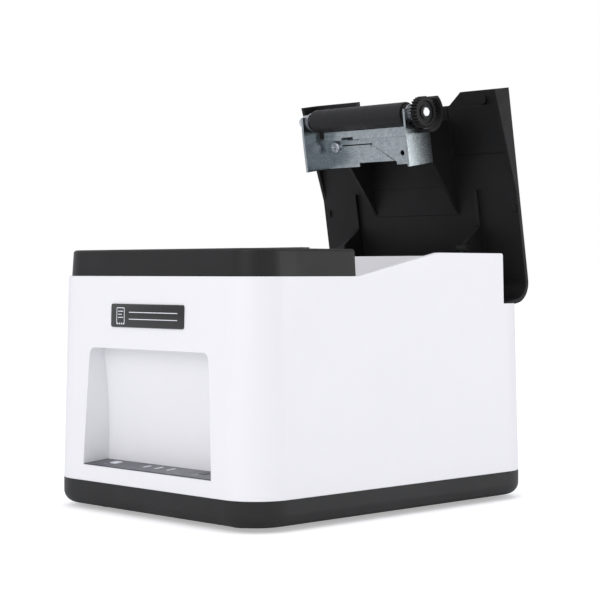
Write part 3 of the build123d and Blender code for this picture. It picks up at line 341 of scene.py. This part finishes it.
plastics = {
    "white_case": {
        "colour": (0.9, 0.897, 0.915, 1), "shade": (0.88, 0.877, 0.9, 1), "wornColour": (0.93, 0.93, 0.94, 1),
        "wear": 0.4, "rough": (0.34, 0.44), "grain": 2400.0, "bump": 0.18, "edge": 0.45,
    },
    "black_cap": {
        "colour": grey(0.012), "shade": grey(0.015), "wornColour": grey(0.045), "wear": 0.35,
        "rough": (0.36, 0.48), "grain": 2000.0, "bump": 0.4, "edge": 0.5, "specular": 0.28,
    },
    "dark_base": {
        "colour": grey(0.017), "shade": grey(0.021), "wornColour": grey(0.06),
        "wear": 0.4, "rough": (0.38, 0.5), "grain": 1800.0, "bump": 0.45, "edge": 0.5, "specular": 0.28,
    },
    "black_cover": {
        "colour": grey(0.0065, 1.05), "shade": grey(0.009, 1.05), "wornColour": grey(0.04, 1.05),
        "wear": 0.5, "rough": (0.42, 0.6), "grain": 1500.0, "bump": 0.5, "edge": 0.35, "specular": 0.24,
    },
    "gear_plastic": {
        "colour": grey(0.008), "shade": grey(0.012), "wornColour": grey(0.05), "wear": 0.5,
        "rough": (0.34, 0.5), "grain": 3000.0, "bump": 0.25, "edge": 0.12, "specular": 0.25,
    },
    "soft_rubber": {
        "colour": grey(0.016), "shade": grey(0.022), "wornColour": grey(0.05), "wear": 0.6,
        "rough": (0.72, 0.88), "grain": 2600.0, "bump": 0.5, "edge": 0.3, "specular": 0.3,
    },
    "overlay": {
        "colour": (0.062, 0.062, 0.08, 1), "shade": (0.07, 0.07, 0.09, 1), "wornColour": grey(0.12),
        "wear": 0.2, "rough": (0.25, 0.38), "grain": 3200.0, "bump": 0.2, "edge": 0.1,
    },
    "light_white": {
        "colour": (0.86, 0.87, 0.92, 1), "shade": (0.82, 0.83, 0.9, 1), "wornColour": grey(0.9),
        "wear": 0.2, "rough": (0.16, 0.26), "grain": 2000.0, "bump": 0.08, "edge": 0.12, "coat": 0.3,
    },
    "key_white": {
        "colour": (0.8, 0.8, 0.85, 1), "shade": (0.75, 0.75, 0.81, 1), "wornColour": grey(0.85),
        "wear": 0.3, "rough": (0.34, 0.46), "grain": 2600.0, "bump": 0.2, "edge": 0.15,
    },
    "key_dark": {
        "colour": (0.07, 0.07, 0.09, 1), "shade": (0.08, 0.08, 0.1, 1), "wornColour": grey(0.14),
        "wear": 0.3, "rough": (0.36, 0.48), "grain": 2600.0, "bump": 0.2, "edge": 0.15,
    },
    "badge": {
        "colour": grey(0.006), "shade": grey(0.008), "wornColour": grey(0.03), "wear": 0.2,
        "rough": (0.14, 0.22), "grain": 1800.0, "bump": 0.06, "edge": 0.1, "coat": 0.4,
    },
    "ceramic": {
        "colour": (0.8, 0.78, 0.72, 1), "shade": (0.74, 0.72, 0.66, 1), "wornColour": grey(0.6),
        "wear": 0.2, "rough": (0.18, 0.28), "grain": 1600.0, "bump": 0.08, "edge": 0.15, "coat": 0.3,
    },
    "board": {
        "colour": (0.012, 0.11, 0.04, 1), "shade": (0.018, 0.14, 0.05, 1), "wornColour": (0.05, 0.25, 0.1, 1),
        "wear": 0.4, "rough": (0.22, 0.34), "grain": 1400.0, "bump": 0.2, "edge": 0.15,
    },
    "chip_black": {
        "colour": grey(0.014), "shade": grey(0.02), "wornColour": grey(0.05), "wear": 0.3,
        "rough": (0.45, 0.6), "grain": 2600.0, "bump": 0.3, "edge": 0.15,
    },
    "socket_black": {
        "colour": grey(0.012), "shade": grey(0.016), "wornColour": grey(0.05), "wear": 0.4,
        "rough": (0.38, 0.5), "grain": 2400.0, "bump": 0.35, "edge": 0.2,
    },
}
sheetMetals = {
    "zinc_sheet": {
        "colour": (0.27, 0.315, 0.33, 1), "shade": (0.37, 0.415, 0.43, 1), "bright": (0.68, 0.72, 0.75, 1),
        "fleck": 0.6, "rough": (0.2, 0.36), "cells": 700.0, "bump": 0.25, "edge": 0.2,
    },
    "aluminium": {
        "colour": (0.72, 0.73, 0.75, 1), "shade": (0.78, 0.79, 0.8, 1), "bright": (0.85, 0.86, 0.88, 1),
        "fleck": 0.2, "rough": (0.28, 0.42), "cells": 200.0, "bump": 0.35, "edge": 0.2,
    },
    "blade": {
        "colour": grey(0.035), "shade": grey(0.05), "bright": grey(0.12), "fleck": 0.4,
        "rough": (0.3, 0.45), "cells": 300.0, "bump": 0.2, "edge": 0.08,
    },
}
turnedParts = {
    "bright_steel": {
        "colour": (0.62, 0.64, 0.67, 1), "shade": (0.74, 0.76, 0.8, 1), "rings": 5000.0,
        "rough": (0.16, 0.28), "bump": 0.3, "edge": 0.15, "metal": 1.0,
    },
    "bush_steel": {
        "colour": (0.42, 0.42, 0.44, 1), "shade": (0.56, 0.56, 0.58, 1), "rings": 3500.0,
        "rough": (0.26, 0.38), "bump": 0.3, "edge": 0.12, "metal": 1.0,
    },
    "bronze": {
        "colour": (0.5, 0.36, 0.18, 1), "shade": (0.6, 0.45, 0.24, 1), "rings": 3500.0,
        "rough": (0.3, 0.42), "bump": 0.3, "edge": 0.12, "metal": 1.0,
    },
    "platen_rubber": {
        "colour": grey(0.011, 1.05), "shade": grey(0.016, 1.05), "rings": 2600.0,
        "rough": (0.46, 0.6), "bump": 0.6, "edge": 0.2, "metal": 0.0, "specular": 0.3,
    },
}

mouldGrain = makeMouldGrain()
softEdge = makeSoftEdge()
zincSpangle = makeZincSpangle()
turnedRings = makeTurnedRings()

finishes = {name: makePlastic(name, look) for name, look in plastics.items()}
finishes.update({name: makeSheetMetal(name, look) for name, look in sheetMetals.items()})
finishes.update({name: makeTurned(name, look) for name, look in turnedParts.items()})

slotOf = {part["node"]: part["material_slot"] for part in frame["record"]["subparts"]}
for nodeName, node in nodes.items():
    node.data.materials.clear()
    node.data.materials.append(finishes[slotOf[nodeName]])
print("finishes made:", len(finishes))

makeSky()
makeFloor()
makeLamps()
makeCamera()
print("camera, lamps and floor set")


# mesh helpers

hingePoint = Vector(joints["cover_hinge"]["pos_m"])
openTurn = math.radians(joints["cover_hinge"]["range_deg"][1])


def swingOpen(bm):
    # a piece drawn with the cover shut is turned to where the cover rests, open
    bmesh.ops.rotate(bm, cent=hingePoint, matrix=Matrix.Rotation(-openTurn, 3, "X"), verts=bm.verts)


sharpAngle = 35.0
mergeWithin = 0.001


def finishPiece(bm, name, slot, body, *stoodFor):
    bmesh.ops.remove_doubles(bm, verts=bm.verts, dist=mergeWithin * mm)
    bmesh.ops.recalc_face_normals(bm, faces=bm.faces)
    mesh = bpy.data.meshes.new(name)
    bm.to_mesh(mesh)
    bm.free()
    mesh.shade_smooth()
    mesh.set_sharp_from_angle(angle=math.radians(sharpAngle))
    mesh.materials.append(finishes[slot])
    piece = bpy.data.objects.new(name, mesh)
    bpy.context.scene.collection.objects.link(piece)
    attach(piece, body)
    if stoodFor:
        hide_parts(*stoodFor)
    return piece


def addBlock(bm, low, high, bevel=0.0, segments=2):
    low = Vector(low)
    high = Vector(high)
    size = high - low
    place = Matrix.Translation((low + high) / 2) @ Matrix.Diagonal((size.x, size.y, size.z, 1.0))
    made = bmesh.ops.create_cube(bm, size=1.0, matrix=place)
    if bevel > 0:
        edges = list({edge for vert in made["verts"] for edge in vert.link_edges})
        bmesh.ops.bevel(
            bm, geom=edges, offset=bevel, segments=segments, profile=0.5, affect="EDGES", material=-1
        )


def addCoil(bm, centre, axis, coilRadius, wireRadius, turns, length, sides=10, stepsPerTurn=28):
    # a ring of wire spun along the coil's axis, with both ends closed
    axis = Vector(axis).normalized()
    side = axis.orthogonal().normalized()
    ringTurn = Matrix((side, axis, side.cross(axis))).transposed().to_4x4()
    place = Matrix.Translation(Vector(centre) + side * coilRadius) @ ringTurn
    ring = bmesh.ops.create_circle(bm, cap_ends=True, segments=sides, radius=wireRadius, matrix=place)
    steps = int(turns * stepsPerTurn)
    face = [item for vert in ring["verts"] for item in vert.link_faces][:1]
    geometry = ring["verts"] + list({edge for vert in ring["verts"] for edge in vert.link_edges}) + face
    bmesh.ops.spin(
        bm, geom=geometry, cent=centre, axis=axis, dvec=axis * (length / steps),
        angle=2 * math.pi * turns, steps=steps, use_merge=False, use_duplicate=False,
    )


def addRod(bm, start, end, radius, sides=16):
    start = Vector(start)
    end = Vector(end)
    turn = (end - start).to_track_quat("Z", "Y").to_matrix().to_4x4()
    place = Matrix.Translation((start + end) / 2) @ turn
    length = (end - start).length
    bmesh.ops.create_cone(
        bm, cap_ends=True, segments=sides, radius1=radius, radius2=radius, depth=length, matrix=place
    )


def addTurned(bm, outline, centre, axis="Z", steps=48):
    # outline is a list of (radius, height) from the axis round to the axis again
    points = [bm.verts.new((radius, 0.0, height)) for radius, height in outline]
    edges = [bm.edges.new(pair) for pair in zip(points, points[1:])]
    bmesh.ops.spin(
        bm, geom=points + edges, cent=(0, 0, 0), axis=(0, 0, 1),
        angle=2 * math.pi, steps=steps, use_merge=True,
    )
    own = [vert for vert in bm.verts if not vert.tag]
    if axis == "X":
        bmesh.ops.rotate(bm, cent=(0, 0, 0), matrix=Matrix.Rotation(math.pi / 2, 3, "Y"), verts=own)
    if axis == "Y":
        bmesh.ops.rotate(bm, cent=(0, 0, 0), matrix=Matrix.Rotation(-math.pi / 2, 3, "X"), verts=own)
    bmesh.ops.translate(bm, vec=centre, verts=own)
    for vert in own:
        vert.tag = True


# feet

footSettings = {"radius": 6.5, "draft": 0.15, "rim": 0.5, "rimSteps": 4, "hollow": 4.2, "hollowDepth": 0.5}


def makeFeet():
    low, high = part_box("rubber_feet")
    radius = footSettings["radius"] * mm
    rim = footSettings["rim"] * mm
    hollow = footSettings["hollow"] * mm
    depth = footSettings["hollowDepth"] * mm
    outline = [(0, depth), (hollow, depth), (hollow + rim, 0)]
    rimSteps = footSettings["rimSteps"]
    for step in range(rimSteps + 1):
        turn = math.radians(90 * step / rimSteps)
        outline.append((radius - rim + rim * math.sin(turn), rim - rim * math.cos(turn)))
    outline += [(radius - footSettings["draft"] * mm, high.z), (0, high.z)]
    bm = bmesh.new()
    for x in (low.x + radius, high.x - radius):
        for y in (low.y + radius, high.y - radius):
            addTurned(bm, outline, (x, y, 0))
    return finishPiece(bm, "moulded_feet", "soft_rubber", "case", "rubber_feet")


# springs

hingeSpringSettings = {
    "wire": 0.42, "coil": 2.1, "turns": 3.25, "coilStart": -37.6, "coilEnd": -34.1,
    "legX": -37.4, "legStart": (-0.9, 2.0), "legEnd": (-23.6, 9.1), "hook": 1.4,
}
headSpringSettings = {"wire": 0.33, "turns": 5.0}


def makeHingeSpring():
    values = hingeSpringSettings
    wire = values["wire"] * mm
    bm = bmesh.new()
    centre = Vector((values["coilStart"] * mm, hingePoint.y, hingePoint.z))
    length = (values["coilEnd"] - values["coilStart"]) * mm
    addCoil(bm, centre, (1, 0, 0), values["coil"] * mm, wire, values["turns"], length)
    legX = values["legX"] * mm
    start = hingePoint + Vector((0, values["legStart"][0] * mm, values["legStart"][1] * mm))
    end = hingePoint + Vector((0, values["legEnd"][0] * mm, values["legEnd"][1] * mm))
    addRod(bm, (legX, start.y, start.z), (legX, end.y, end.z), wire)
    addRod(bm, (legX + wire, end.y, end.z), (legX - values["hook"] * mm, end.y, end.z), wire)
    swingOpen(bm)
    return finishPiece(bm, "hinge_coil", "bright_steel", "cover", "hinge_spring")


def makeHeadSprings():
    low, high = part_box("head_springs")
    wire = headSpringSettings["wire"] * mm
    radius = (high.z - low.z) / 2
    coil = radius - wire
    bm = bmesh.new()
    for x in (low.x + radius, high.x - radius):
        start = Vector((x, low.y + wire, (low.z + high.z) / 2))
        addCoil(bm, start, (0, 1, 0), coil, wire, headSpringSettings["turns"], high.y - low.y - 2 * wire)
    return finishPiece(bm, "head_coils", "bright_steel", "case", "head_springs")


# badge and panel marks

badgeSettings = {
    "lean": -1.5, "halfSheet": 0.28, "corner": 1.0, "bevel": 0.22,
    "markProud": 0.06, "markSunk": 0.02, "line": 0.35,
    "sideMargin": 4.0, "endMargin": 1.6, "slipWide": 5.6,
    "rows": 3, "firstRow": 1.5, "rowPitch": 1.35, "rowIndent": 1.0, "rowShorter": 0.8,
    "teeth": 4, "toothHalf": 0.28, "ruleGap": 3.0, "ruleHeight": 1.5,
}


def makeBadge():
    low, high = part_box("front_badge")
    values = badgeSettings
    lean = math.radians(values["lean"])
    centre = Vector((0, (low.y + high.y) / 2, (low.z + high.z) / 2))
    halfX = (high.x - low.x) / 2
    halfZ = (high.z - low.z) / 2 - 0.01 * mm
    plate = bmesh.new()
    sheet = values["halfSheet"] * mm
    addBlock(plate, (-halfX, -sheet, -halfZ), (halfX, sheet, halfZ))
    upright = [edge for edge in plate.edges if abs((edge.verts[0].co - edge.verts[1].co).y) > sheet]
    corner = values["corner"] * mm
    bmesh.ops.bevel(plate, geom=upright, offset=corner, segments=5, profile=0.5, affect="EDGES", material=-1)
    front = [edge for edge in plate.edges if all(vert.co.y < 0 for vert in edge.verts)]
    bmesh.ops.bevel(
        plate, geom=front, offset=values["bevel"] * mm, segments=2, profile=0.5, affect="EDGES", material=-1
    )
    marks = bmesh.new()
    face = -sheet - values["markProud"] * mm
    line = values["line"] * mm
    back = -sheet + values["markSunk"] * mm
    stripLeft = -halfX + values["sideMargin"] * mm
    stripRight = stripLeft + values["slipWide"] * mm
    top = halfZ - values["endMargin"] * mm
    bottom = -halfZ + values["endMargin"] * mm
    addBlock(marks, (stripLeft, face, bottom), (stripLeft + line, back, top))
    addBlock(marks, (stripRight - line, face, bottom), (stripRight, back, top))
    addBlock(marks, (stripLeft, face, top - line), (stripRight, back, top))
    indent = values["rowIndent"]
    for row in range(values["rows"]):
        z = top - (values["firstRow"] + values["rowPitch"] * row) * mm
        right = stripRight - (indent + values["rowShorter"] * (row % 2)) * mm
        addBlock(marks, (stripLeft + indent * mm, face, z - line), (right, back, z))
    toothWidth = (stripRight - stripLeft) / values["teeth"]
    toothHalf = toothWidth * values["toothHalf"]
    for tooth in range(values["teeth"]):
        x = stripLeft + toothWidth * (tooth + 0.5)
        addBlock(marks, (x - toothHalf, face, bottom - line), (x + toothHalf, back, bottom + line))
    ruleLeft = stripRight + values["ruleGap"] * mm
    ruleRight = halfX - values["sideMargin"] * mm
    for z in (-values["ruleHeight"] * mm, values["ruleHeight"] * mm):
        addBlock(marks, (ruleLeft, face, z - line / 2), (ruleRight, back, z + line / 2))
    for bm in (plate, marks):
        bmesh.ops.rotate(bm, cent=(0, 0, 0), matrix=Matrix.Rotation(lean, 3, "X"), verts=bm.verts)
        bmesh.ops.translate(bm, vec=centre, verts=bm.verts)
    finishPiece(plate, "badge_plate", "badge", "case", "front_badge")
    finishPiece(marks, "badge_marks", "light_white", "case")


panelSettings = {
    "tilt": 4.5, "lift": 0.2, "proud": 0.05, "markSize": 1.5, "markLine": 0.3,
    "tickLeft": 3.4, "tickFront": 3.6, "frameHalf": 2.75,
}


def makePanelMarks():
    keyLow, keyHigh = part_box("power_key")
    feedLow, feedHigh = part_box("feed_key")
    lightLow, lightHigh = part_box("status_lights")
    values = panelSettings
    tilt = math.radians(values["tilt"])
    surface = Vector((0, (lightLow.y + lightHigh.y) / 2, 0))
    surface.z = (lightLow.z + lightHigh.z) / 2 + values["lift"] * mm
    size = values["markSize"] * mm
    line = values["markLine"] * mm
    high = values["proud"] * mm
    low = -high
    frontRow = -values["tickFront"] * mm
    tickLeft = values["tickLeft"] * mm
    powerX = (keyLow.x + keyHigh.x) / 2
    feedX = (feedLow.x + feedHigh.x) / 2
    bm = bmesh.new()
    for x in (powerX - tickLeft, feedX - tickLeft):  # a small tick in front and to the left of each key
        addBlock(bm, (x - size / 2, frontRow - line / 2, low), (x + size / 2, frontRow + line / 2, high))
    half = values["frameHalf"] * mm  # a thin frame round the dark key
    for side in (-1, 1):
        edge = side * half
        addBlock(bm, (feedX + edge - line / 2, -half, low), (feedX + edge + line / 2, half, high))
        addBlock(bm, (feedX - half, edge - line / 2, low), (feedX + half, edge + line / 2, high))
    bmesh.ops.rotate(bm, cent=(0, 0, 0), matrix=Matrix.Rotation(tilt, 3, "X"), verts=bm.verts)
    bmesh.ops.translate(bm, vec=surface, verts=bm.verts)
    return finishPiece(bm, "panel_marks", "light_white", "case")


# rear sockets

contactSettings = {
    "drawer": {"count": 6, "pitch": 1.02, "wide": 0.35, "deep": 8.0, "lift": 3.4},
    "network": {"count": 8, "pitch": 1.02, "wide": 0.35, "deep": 9.0, "lift": 4.1},
}
contactEnds = {"inset": 1.6, "underside": 0.5, "topside": 0.1}
usbSettings = {"side": 1.1, "lift": 1.65, "halfWide": 0.5, "halfThick": 0.07, "inner": 11.0, "outer": 5.9}


def makeContacts():
    bm = bmesh.new()
    for name, values in contactSettings.items():
        low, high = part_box(name + "_socket")
        centre = (low.x + high.x) / 2
        top = (low.z + high.z) / 2 + values["lift"] * mm
        bottomZ = top - contactEnds["underside"] * mm
        topZ = top - contactEnds["topside"] * mm
        for index in range(values["count"]):
            x = centre + (index - (values["count"] - 1) / 2) * values["pitch"] * mm
            back = high.y - contactEnds["inset"] * mm
            front = back - values["deep"] * mm
            wide = values["wide"] * mm
            addBlock(bm, (x - wide / 2, front, bottomZ), (x + wide / 2, back, topZ))
    low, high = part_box("usb_socket")
    centre = (low.x + high.x) / 2
    middle = (low.z + high.z) / 2
    halfWide = usbSettings["halfWide"] * mm
    halfThick = usbSettings["halfThick"] * mm
    for side in (-1, 1):
        for lift in (-1, 1):
            x = centre + side * usbSettings["side"] * mm
            z = middle + lift * usbSettings["lift"] * mm
            innerEnd = (x - halfWide, high.y - usbSettings["inner"] * mm, z - halfThick)
            outerEnd = (x + halfWide, high.y - usbSettings["outer"] * mm, z + halfThick)
            addBlock(bm, innerEnd, outerEnd)
    return finishPiece(bm, "socket_contacts", "bronze", "case")


rockerSettings = {
    "barHeight": 3.2, "barWide": 0.6, "ringRadius": 1.5, "proud": 0.08,
    "faceRise": 1.2, "faceRun": 7.2, "faceDepth": 5.0, "faceHeight": 3.6, "restTilt": -8.0,
}


def makeRockerMarks():
    # the bar and the ring of a mains switch, drawn on the rocker's two faces
    pivot = Vector(joints["rocker_tilt"]["pos_m"])
    proud = rockerSettings["proud"] * mm
    bm = bmesh.new()
    faceTop = math.atan2(rockerSettings["faceRise"], rockerSettings["faceRun"])
    restTurn = Matrix.Rotation(math.radians(rockerSettings["restTilt"]), 3, "X")
    for side, kind in ((1, "bar"), (-1, "ring")):
        mark = bmesh.new()
        if kind == "bar":
            halfW = rockerSettings["barWide"] / 2 * mm
            halfH = rockerSettings["barHeight"] / 2 * mm
            addBlock(mark, (-halfW, -proud, -halfH), (halfW, proud, halfH))
        else:
            outer = rockerSettings["ringRadius"] * mm
            inner = outer - rockerSettings["barWide"] * mm
            outline = [(outer, -proud), (outer, proud), (inner, proud), (inner, -proud), (outer, -proud)]
            addTurned(mark, outline, (0, 0, 0), "Y", 32)
        faceTurn = Matrix.Rotation(-side * faceTop, 3, "X")
        bmesh.ops.rotate(mark, cent=(0, 0, 0), matrix=faceTurn, verts=mark.verts)
        facePlace = (0, rockerSettings["faceDepth"] * mm, side * rockerSettings["faceHeight"] * mm)
        bmesh.ops.translate(mark, vec=facePlace, verts=mark.verts)
        scratch = bpy.data.meshes.new("scratch")
        mark.to_mesh(scratch)
        mark.free()
        bm.from_mesh(scratch)
        bpy.data.meshes.remove(scratch)
    bmesh.ops.rotate(bm, cent=(0, 0, 0), matrix=restTurn, verts=bm.verts)
    bmesh.ops.translate(bm, vec=pivot, verts=bm.verts)
    return finishPiece(bm, "rocker_marks", "light_white", "rocker")


makeFeet()
makeHingeSpring()
makeHeadSprings()
print("feet and springs made")
makeBadge()
makePanelMarks()
print("badge and panel marks made")
makeContacts()
makeRockerMarks()
print("socket details made")

bpy.context.scene.view_settings.view_transform = "Standard"
bpy.context.view_layer.update()
